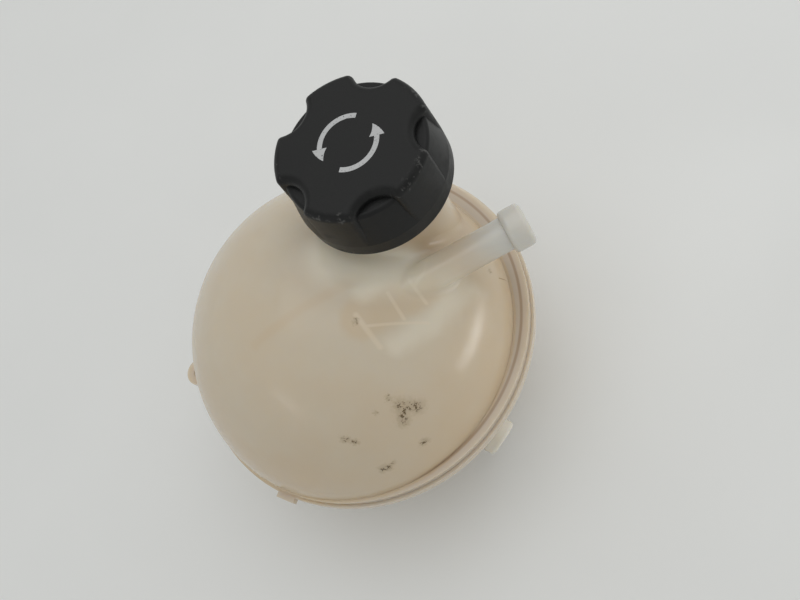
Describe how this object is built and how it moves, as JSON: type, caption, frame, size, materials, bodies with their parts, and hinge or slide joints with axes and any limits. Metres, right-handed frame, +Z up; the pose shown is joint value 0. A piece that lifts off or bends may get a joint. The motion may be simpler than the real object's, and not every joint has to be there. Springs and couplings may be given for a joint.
{
  "type": "coolant expansion tank",
  "caption": "Ball-shaped translucent coolant expansion tank of two welded halves, with a vent pipe, an outlet nipple and a fluted screw cap that holds pressure and vacuum valves.",
  "frame": {"origin": "centre of the mounting peg's root, on the underside of the bowl", "axes": "+Z up along the cap axis, +X along the vent pipe towards its open end, outlet nipple towards -Y and +X"},
  "size_m": [0.1609, 0.1484, 0.158],
  "materials": {
    "tank_plastic": "translucent, half gloss",
    "cap_plastic": "fine grain",
    "insert_plastic": "smooth",
    "seal_rubber": "smooth",
    "spring_steel": "drawn wire",
    "plate_steel": "pressed sheet",
    "valve_brass": "turned"
  },
  "bodies": {
    "tank": {"upper_shell": "tank_plastic", "lower_shell": "tank_plastic"},
    "cap_insert": {"valve_housing": "insert_plastic", "upper_seal_ring": "seal_rubber", "lower_seal_ring": "seal_rubber", "spring_retainer": "insert_plastic", "pressure_spring": "spring_steel"},
    "knob": {"cap_knob": "cap_plastic"},
    "pressure_valve": {"pressure_plate": "plate_steel", "pressure_gasket": "seal_rubber", "vacuum_spring": "spring_steel"},
    "vacuum_poppet": {"vacuum_valve": "valve_brass", "vacuum_keeper": "plate_steel"}
  },
  "joints": [
    {"name": "cap_rise", "type": "slide", "parent": "tank", "child": "cap_insert", "axis": [0, 0, 1], "range_m": [0, 0.009]},
    {"name": "cap_turn", "type": "hinge", "parent": "cap_insert", "child": "knob", "pos_m": [0.045, 0.0142, 0.1186], "axis": [0, 0, 1], "range_deg": [0, 540]},
    {"name": "pressure_valve_lift", "type": "slide", "parent": "cap_insert", "child": "pressure_valve", "axis": [0, 0, 1], "range_m": [0, 0.002], "stiffness_N_per_m": 400, "springref_m": -0.003, "deforming": ["pressure_spring"]},
    {"name": "vacuum_valve_drop", "type": "slide", "parent": "pressure_valve", "child": "vacuum_poppet", "axis": [0, 0, -1], "range_m": [0, 0.0012], "stiffness_N_per_m": 100, "springref_m": -0.003, "deforming": ["vacuum_spring"]}
  ],
  "couplings": [
    {"joint": "cap_turn", "follows": "cap_rise", "rad_per_m": 1047.2}
  ]
}
